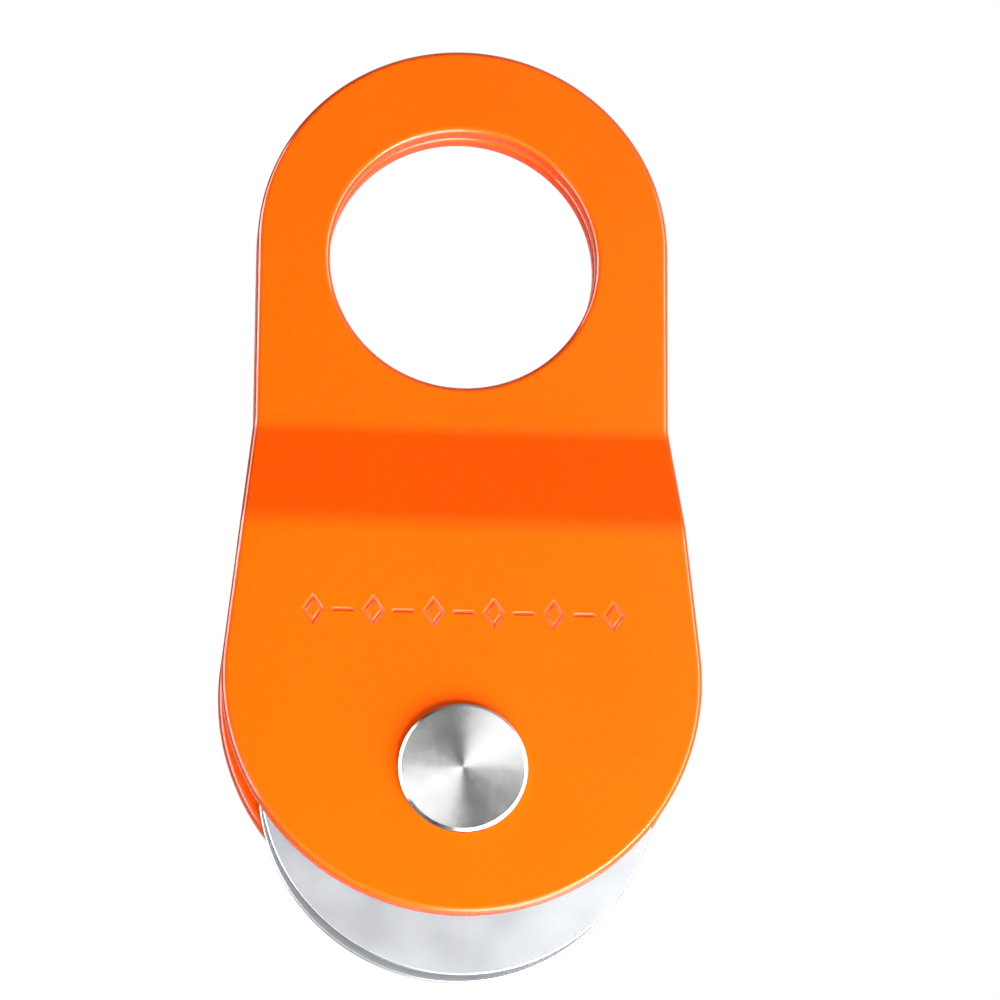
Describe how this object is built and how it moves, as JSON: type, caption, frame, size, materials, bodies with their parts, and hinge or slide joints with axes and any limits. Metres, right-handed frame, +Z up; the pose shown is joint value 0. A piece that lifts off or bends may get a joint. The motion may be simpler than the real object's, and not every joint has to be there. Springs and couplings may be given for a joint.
{
  "type": "swing-cheek rope pulley block",
  "caption": "Swing-cheek rope pulley: two joggled steel cheeks with a shackle eye swing open round a greased pin to load rope onto a grooved sheave.",
  "frame": {"origin": "centre of the shackle eye, midway between the two cheeks, where the block hangs", "axes": "+Z up from the centre pin to the shackle eye, +Y along the pin towards the grease nipple, -Y is the front with the plain pin head"},
  "size_m": [0.1148, 0.0501, 0.2312],
  "materials": {
    "cheek_paint": "glossy orange powder coat with a fine orange peel",
    "pin_steel": "fine turned steel",
    "sheave_steel": "satin zinc-plated turned steel",
    "bush_bronze": "turned bearing bronze, greased",
    "washer_bronze": "flat ground bronze",
    "zinc_plate": "bright zinc plate",
    "spring_steel": "oiled black spring steel",
    "ball_steel": "polished"
  },
  "bodies": {
    "rear_cheek": {"rear_cheek": "cheek_paint", "centre_pin": "pin_steel", "circlip": "spring_steel", "nipple_body": "zinc_plate", "nipple_spring": "spring_steel"},
    "front_cheek": {"front_cheek": "cheek_paint"},
    "sheave": {"sheave": "sheave_steel", "sheave_bush": "bush_bronze"},
    "front_thrust_washer": {"front_thrust_washer": "washer_bronze"},
    "rear_thrust_washer": {"rear_thrust_washer": "washer_bronze"},
    "end_washer": {"end_washer": "zinc_plate"},
    "check_ball": {"nipple_ball": "ball_steel"}
  },
  "joints": [
    {"name": "front_cheek_swing", "type": "hinge", "parent": "rear_cheek", "child": "front_cheek", "pos_m": [0, 0, -0.12968], "axis": [0, 1, 0], "continuous": true},
    {"name": "sheave_spin", "type": "hinge", "parent": "rear_cheek", "child": "sheave", "pos_m": [0, 0, -0.12968], "axis": [0, 1, 0], "continuous": true},
    {"name": "front_thrust_washer_turn", "type": "hinge", "parent": "rear_cheek", "child": "front_thrust_washer", "pos_m": [0, 0, -0.12968], "axis": [0, 1, 0], "continuous": true},
    {"name": "rear_thrust_washer_turn", "type": "hinge", "parent": "rear_cheek", "child": "rear_thrust_washer", "pos_m": [0, 0, -0.12968], "axis": [0, 1, 0], "continuous": true},
    {"name": "end_washer_turn", "type": "hinge", "parent": "rear_cheek", "child": "end_washer", "pos_m": [0, 0, -0.12968], "axis": [0, 1, 0], "continuous": true},
    {"name": "check_ball_slide", "type": "slide", "parent": "rear_cheek", "child": "check_ball", "axis": [0, -1, 0], "range_m": [0, 0.0008], "stiffness_N_per_m": 400, "springref_m": -0.001, "deforming": ["nipple_spring"]}
  ]
}
